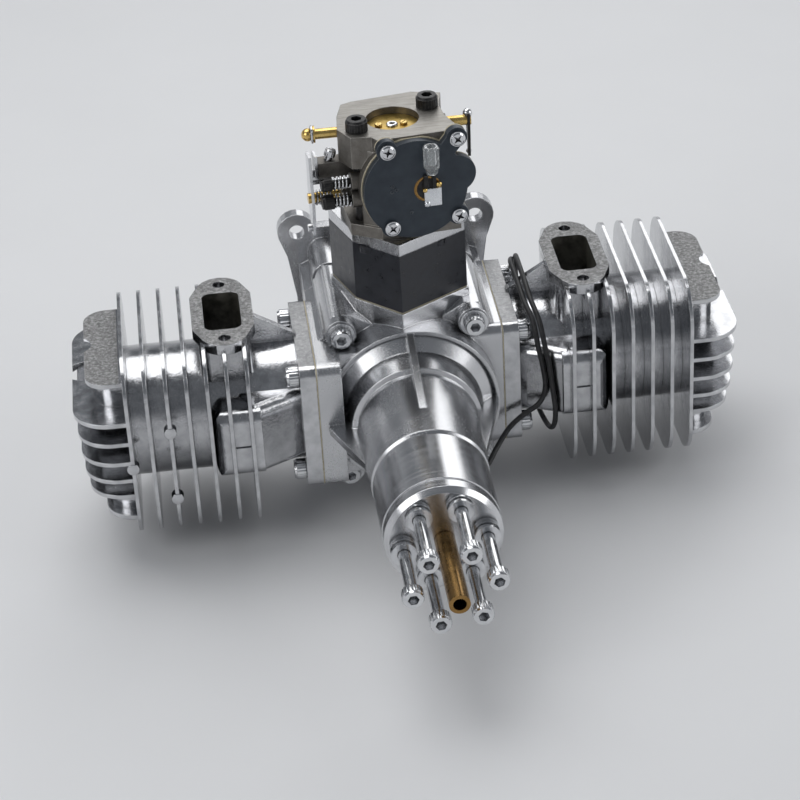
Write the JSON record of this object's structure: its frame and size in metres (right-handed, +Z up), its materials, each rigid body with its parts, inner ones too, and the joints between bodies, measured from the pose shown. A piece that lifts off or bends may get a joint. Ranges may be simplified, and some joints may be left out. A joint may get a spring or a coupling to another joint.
{
  "type": "model aircraft engine",
  "caption": "Horizontally opposed two-stroke petrol engine for a model aircraft, with finned cylinders, top carburettor, turning crankshaft and propeller driver, and rear mounting ears",
  "frame": {"origin": "centre of the rear mounting bolt pattern, on the rear face of the mounting ears and on the crankshaft axis", "axes": "+Z up through the carburettor, +X to the right cylinder seen from the propeller, -Y along the crankshaft towards the propeller"},
  "size_m": [0.273, 0.2235, 0.1723],
  "materials": {
    "cast_alloy": "satin, die cast",
    "cylinder_alloy": "bright, die cast and polished",
    "machined_alloy": "fine turned",
    "bright_steel": "bright zinc plate",
    "bearing_steel": "ground",
    "forged_steel": "forged and ground",
    "magnet": "nickel plated",
    "gasket_fibre": "pressed fibre",
    "black_resin": "matt moulded",
    "black_rubber": "smooth",
    "carb_alloy": "zinc alloy, satin grey",
    "cover_paint": "smooth dark blue-grey",
    "black_oxide": "black oxide",
    "brass": "bright",
    "bronze": "dark",
    "clear_plastic": "translucent"
  },
  "bodies": {
    "engine": {"front_case": "cast_alloy", "rear_case": "cast_alloy", "case_screws": "bright_steel", "left_cylinder": "cylinder_alloy", "right_cylinder": "cylinder_alloy", "left_gasket": "gasket_fibre", "right_gasket": "gasket_fibre", "left_cylinder_screws": "bright_steel", "right_cylinder_screws": "bright_steel", "front_bearing": "bearing_steel", "middle_bearing": "bearing_steel", "rear_bearing": "bearing_steel", "oil_seal": "black_rubber", "reed_cage": "black_resin", "reed_petals": "bearing_steel", "intake_gasket": "gasket_fibre", "insulator": "black_resin", "carb_plate": "machined_alloy", "carb_body": "carb_alloy", "front_cover": "cover_paint", "cover_gasket": "gasket_fibre", "cover_screws": "bright_steel", "back_cover": "carb_alloy", "carb_screws": "black_oxide", "fuel_nipple": "clear_plastic", "high_spring": "bright_steel", "low_spring": "bright_steel", "throttle_spring": "bright_steel", "ignition_sensor": "black_resin", "sensor_lead": "black_rubber", "sensor_plug": "black_resin"},
    "crank": {"crankshaft": "forged_steel", "prop_driver": "machined_alloy", "centre_sleeve": "bronze", "prop_screws": "bright_steel", "prop_washers": "bright_steel", "timing_magnet": "magnet"},
    "left_piston_set": {"left_piston": "machined_alloy", "left_rings": "bearing_steel", "left_wrist_pin": "bearing_steel", "left_rod": "forged_steel", "left_rod_bearings": "bearing_steel", "left_crankpin": "bearing_steel"},
    "right_piston_set": {"right_piston": "machined_alloy", "right_rings": "bearing_steel", "right_wrist_pin": "bearing_steel", "right_rod": "forged_steel", "right_rod_bearings": "bearing_steel", "right_crankpin": "bearing_steel"},
    "throttle": {"throttle_shaft": "brass", "throttle_plate": "brass", "throttle_lever": "bright_steel"},
    "choke": {"choke_shaft": "brass", "choke_plate": "brass", "choke_screws": "bright_steel", "choke_lever": "black_oxide"},
    "high_needle": {"high_needle": "black_oxide"},
    "low_needle": {"low_needle": "black_oxide"},
    "idle_screw": {"idle_screw": "bright_steel"}
  },
  "joints": [
    {"name": "crank_spin", "type": "hinge", "parent": "engine", "child": "crank", "pos_m": [0, -0.056, 0], "axis": [0, -1, 0], "continuous": true},
    {"name": "left_piston_stroke", "type": "slide", "parent": "engine", "child": "left_piston_set", "axis": [1, 0, 0], "range_m": [0, 0.038]},
    {"name": "right_piston_stroke", "type": "slide", "parent": "engine", "child": "right_piston_set", "axis": [-1, 0, 0], "range_m": [0, 0.038]},
    {"name": "throttle_turn", "type": "hinge", "parent": "engine", "child": "throttle", "pos_m": [0.0005, -0.0575, 0.0865], "axis": [-0.9945, -0.1045, 0], "range_deg": [0, 70], "stiffness_Nm_per_rad": 0.02, "springref_deg": -17.19},
    {"name": "choke_turn", "type": "hinge", "parent": "engine", "child": "choke", "pos_m": [0.0005, -0.0575, 0.1125], "axis": [1, 0, 0], "range_deg": [0, 80]},
    {"name": "high_needle_turn", "type": "hinge", "parent": "engine", "child": "high_needle", "pos_m": [-0.01845, -0.06854, 0.096], "axis": [0.9945, 0.1045, 0], "range_deg": [-540, 540]},
    {"name": "low_needle_turn", "type": "hinge", "parent": "engine", "child": "low_needle", "pos_m": [-0.01845, -0.06854, 0.0883], "axis": [0.9945, 0.1045, 0], "range_deg": [-540, 540]},
    {"name": "idle_screw_turn", "type": "hinge", "parent": "engine", "child": "idle_screw", "pos_m": [-0.02604, -0.05949, 0.1019], "axis": [0.3401, 0.0358, 0.9397], "range_deg": [-360, 360]}
  ]
}
